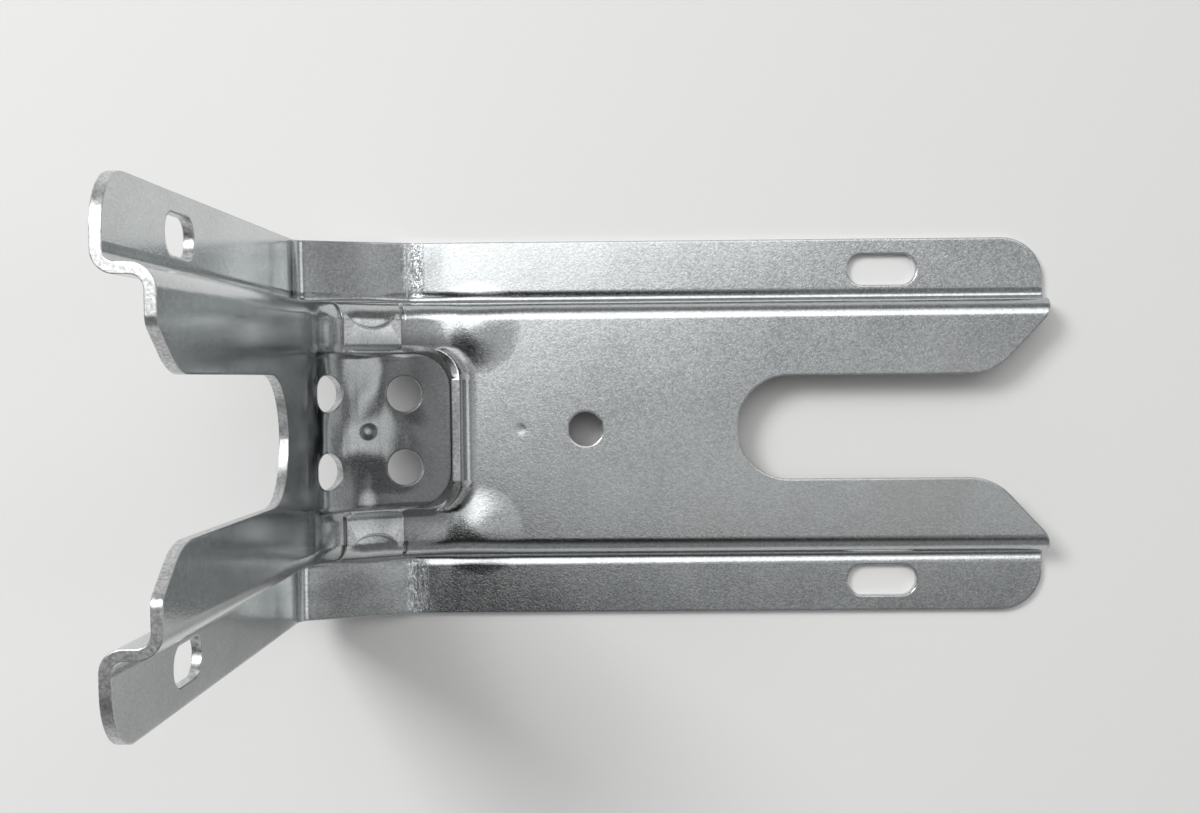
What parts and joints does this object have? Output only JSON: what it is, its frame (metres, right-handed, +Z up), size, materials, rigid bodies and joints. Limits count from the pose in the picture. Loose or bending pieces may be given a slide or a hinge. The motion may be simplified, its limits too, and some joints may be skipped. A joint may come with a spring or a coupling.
{
  "type": "range anti-tip bracket",
  "caption": "Galvanised steel anti-tip bracket for a range, a hat-section L with an open notch in each leg, slotted flanges and a curved screw panel across the corner.",
  "frame": {"origin": "middle of the footprint, on the floor plane", "axes": "+X along the floor leg away from the wall, +Y across the part, +Z up the wall leg"},
  "size_m": [0.14, 0.07, 0.108],
  "materials": {
    "galvanised_steel": "zinc-coated, satin with a fine bright grain"
  },
  "bodies": {
    "root": {"anti_tip_bracket": "galvanised_steel"}
  },
  "joints": []
}
